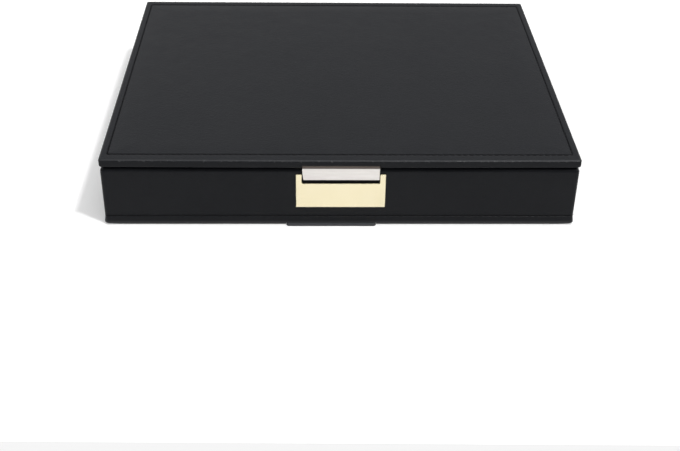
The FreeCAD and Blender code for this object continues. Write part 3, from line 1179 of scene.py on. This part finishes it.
def dressNodes():
    finishes = {
        "name_plate": plateBrass,
        "base_leaf_screws": hingeBrass,
        "lid_leaf_screws": hingeBrass,
    }
    for side in ("left", "right"):
        finishes[side + "_base_leaf"] = hingeBrass
        finishes[side + "_lid_leaf"] = hingeBrass
        finishes[side + "_hinge_pin"] = pinSteel
    for name, node in nodes.items():
        if not node.hide_render:
            node.data.materials.clear()
            node.data.materials.append(finishes.get(name, board))


dressNodes()
print("metal and boards ready")


stageSet = {
    "size": 6.0,
    "floorColour": 0.86,
    "seenLift": 0.20,
    "mirrorLift": 0.0,
    "drop": 0.02 * mm,
    "edgeAt": -0.2622,
    "edgeTurn": -0.82,
    "edgeColour": 0.61,
}


def rayKinds(tree):
    # 1 for what the camera sees straight, and 1 for what metal or glass shows
    path = addNode(tree, "ShaderNodeLightPath")
    mirrored = combine(tree, "MAXIMUM", path.outputs["Is Glossy Ray"], path.outputs["Is Transmission Ray"])
    return path.outputs["Is Camera Ray"], mirrored


def paperMaterial(name, colour):
    material = bpy.data.materials.new(name)
    material.use_nodes = True
    tree = material.node_tree
    tree.nodes.clear()
    paper = addNode(tree, "ShaderNodeBsdfDiffuse", Color=(colour, colour, colour, 1))
    glow = addNode(tree, "ShaderNodeEmission", Color=(1, 1, 1, 1))
    seen, mirrored = rayKinds(tree)
    lift = combine(tree, "ADD", combine(tree, "MULTIPLY", seen, stageSet["seenLift"]),
                   combine(tree, "MULTIPLY", mirrored, stageSet["mirrorLift"]))
    tree.links.new(lift, glow.inputs["Strength"])
    both = addNode(tree, "ShaderNodeAddShader")
    tree.links.new(paper.outputs[0], both.inputs[0])
    tree.links.new(glow.outputs[0], both.inputs[1])
    output = addNode(tree, "ShaderNodeOutputMaterial")
    tree.links.new(both.outputs[0], output.inputs["Surface"])
    return material


def stageSheet(name, corners, material):
    mesh = bpy.data.meshes.new(name)
    mesh.from_pydata(corners, [], [(0, 1, 2, 3)])
    sheet = placeObject(name, mesh)
    sheet.data.materials.append(material)


def makeFloor():
    half = stageSet["size"] / 2
    low = -stageSet["drop"]
    corners = [(-half, -half, low), (half, -half, low), (half, half, low), (-half, half, low)]
    stageSheet("whiteFloor", corners, paperMaterial("whitePaper", stageSet["floorColour"]))
    # the white ends a little in front of the box, where a pale grey begins
    lean = math.tan(math.radians(stageSet["edgeTurn"])) * half
    edge = stageSet["edgeAt"]
    corners = [(-half, -half, low / 2), (half, -half, low / 2), (half, edge + lean, low / 2),
               (-half, edge - lean, low / 2)]
    stageSheet("greyFront", corners, paperMaterial("greyPaper", stageSet["edgeColour"]))


lightSet = {
    "keyFrom": Vector((18.0, -11.4, 39.0)),
    "keyStrength": 1.5,
    "keyAngle": 5.0,
    "frontFrom": Vector((-4.0, -20.0, 9.0)),
    "frontStrength": 0.55,
    "frontAngle": 60.0,
    "sideFrom": Vector((9.0, -4.0, 32.0)),
    "sideStrength": 0.65,
    "sideAngle": 40.0,
    "fill": 0.50,
    "lowBack": 0.57,
    "highBack": 0.50,
    "backHeights": (0.05, 0.45),
    "leftward": 0.22,
    "leftwardSpan": (-0.5, 0.5),
    "roomFront": 0.10,
    "roomSpan": (-0.45, -0.1),
    "panelLeft": 1.4,
    "panelRight": 4.6,
    "panelHeights": (0.45, 0.65),
    "panelRear": (0.4, 0.6),
    "panelFront": (-0.5, -0.35),
    "panelLean": (-0.25, -0.05),
}


def softLamp(name, strength, wide, source):
    sun = bpy.data.lights.new(name, "SUN")
    sun.energy = strength
    sun.angle = math.radians(wide)
    lamp = placeObject(name, sun)
    lamp.rotation_euler = source.to_track_quat("Z", "Y").to_euler()
    return lamp


def makeWorld():
    world = bpy.data.worlds.new("whiteStudio")
    bpy.context.scene.world = world
    world.use_nodes = True
    tree = world.node_tree
    background = next(node for node in tree.nodes if node.type == "BACKGROUND")
    background.inputs["Color"].default_value = (1, 1, 1, 1)
    # what shiny things show: a pale sweep behind that dims a little upwards, and a dim room in front
    facing = addNode(tree, "ShaderNodeSeparateXYZ")
    tree.links.new(addNode(tree, "ShaderNodeTexCoord").outputs["Generated"], facing.inputs[0])
    right = facing.outputs["X"]
    rear = facing.outputs["Y"]
    up = facing.outputs["Z"]
    height = spread(tree, up, lightSet["lowBack"], lightSet["highBack"], *lightSet["backHeights"])
    front = spread(tree, rear, lightSet["roomFront"], 1.0, *lightSet["roomSpan"])
    room = combine(tree, "MULTIPLY", height, front)
    # a bright panel overhead, brighter to the right
    panelRear = spread(tree, rear, 1.0, 0.0, *lightSet["panelRear"])
    panelFront = spread(tree, rear, 0.0, 1.0, *lightSet["panelFront"])
    panelLean = spread(tree, right, lightSet["panelLeft"], lightSet["panelRight"], *lightSet["panelLean"])
    panel = combine(tree, "MULTIPLY", spread(tree, up, 0.0, 1.0, *lightSet["panelHeights"]),
                    combine(tree, "MULTIPLY", panelFront, panelRear))
    panel = combine(tree, "MULTIPLY", panel, panelLean)
    leaning = spread(tree, right, 1 + lightSet["leftward"], 1 - lightSet["leftward"],
                     *lightSet["leftwardSpan"])
    shown = combine(tree, "MULTIPLY", leaning, combine(tree, "ADD", room, panel))
    # white where the camera looks, the room for shiny things, and an even fill for all else
    seen, mirrored = rayKinds(tree)
    others = combine(tree, "SUBTRACT", 1.0, combine(tree, "ADD", seen, mirrored))
    plain = combine(tree, "MULTIPLY", others, lightSet["fill"])
    strength = combine(tree, "ADD", combine(tree, "ADD", plain, seen),
                       combine(tree, "MULTIPLY", mirrored, shown))
    tree.links.new(strength, background.inputs["Strength"])


def makeLight():
    softLamp("keyLight", lightSet["keyStrength"], lightSet["keyAngle"], lightSet["keyFrom"])
    front = softLamp("frontLight", lightSet["frontStrength"], lightSet["frontAngle"], lightSet["frontFrom"])
    side = softLamp("sideLight", lightSet["sideStrength"], lightSet["sideAngle"], lightSet["sideFrom"])
    # shiny things see the room there, not these two
    front.visible_glossy = False
    side.visible_glossy = False
    makeWorld()


cameraSet = {
    "place": Vector((-15.11, -595.43, 338.5)) * mm,
    "pan": 1.706,
    "tilt": 32.689,
    "roll": 0.982,
    "lens": 59.21,
    "sensor": 36,
    "shiftY": -0.0515,
    "clipStart": 0.01,
}


def makeCamera():
    data = bpy.data.cameras.new("camera")
    data.lens = cameraSet["lens"]
    data.sensor_width = cameraSet["sensor"]
    data.sensor_fit = "HORIZONTAL"
    data.shift_y = cameraSet["shiftY"]
    data.clip_start = cameraSet["clipStart"]
    camera = placeObject("camera", data)
    pan = Matrix.Rotation(math.radians(-cameraSet["pan"]), 4, "Z")
    tilt = Matrix.Rotation(math.radians(90 - cameraSet["tilt"]), 4, "X")
    roll = Matrix.Rotation(math.radians(cameraSet["roll"]), 4, "Z")
    camera.matrix_world = Matrix.Translation(cameraSet["place"]) @ pan @ tilt @ roll
    bpy.context.scene.camera = camera


makeFloor()
makeLight()
makeCamera()
bpy.context.scene.view_settings.view_transform = "Standard"
print("stage ready")
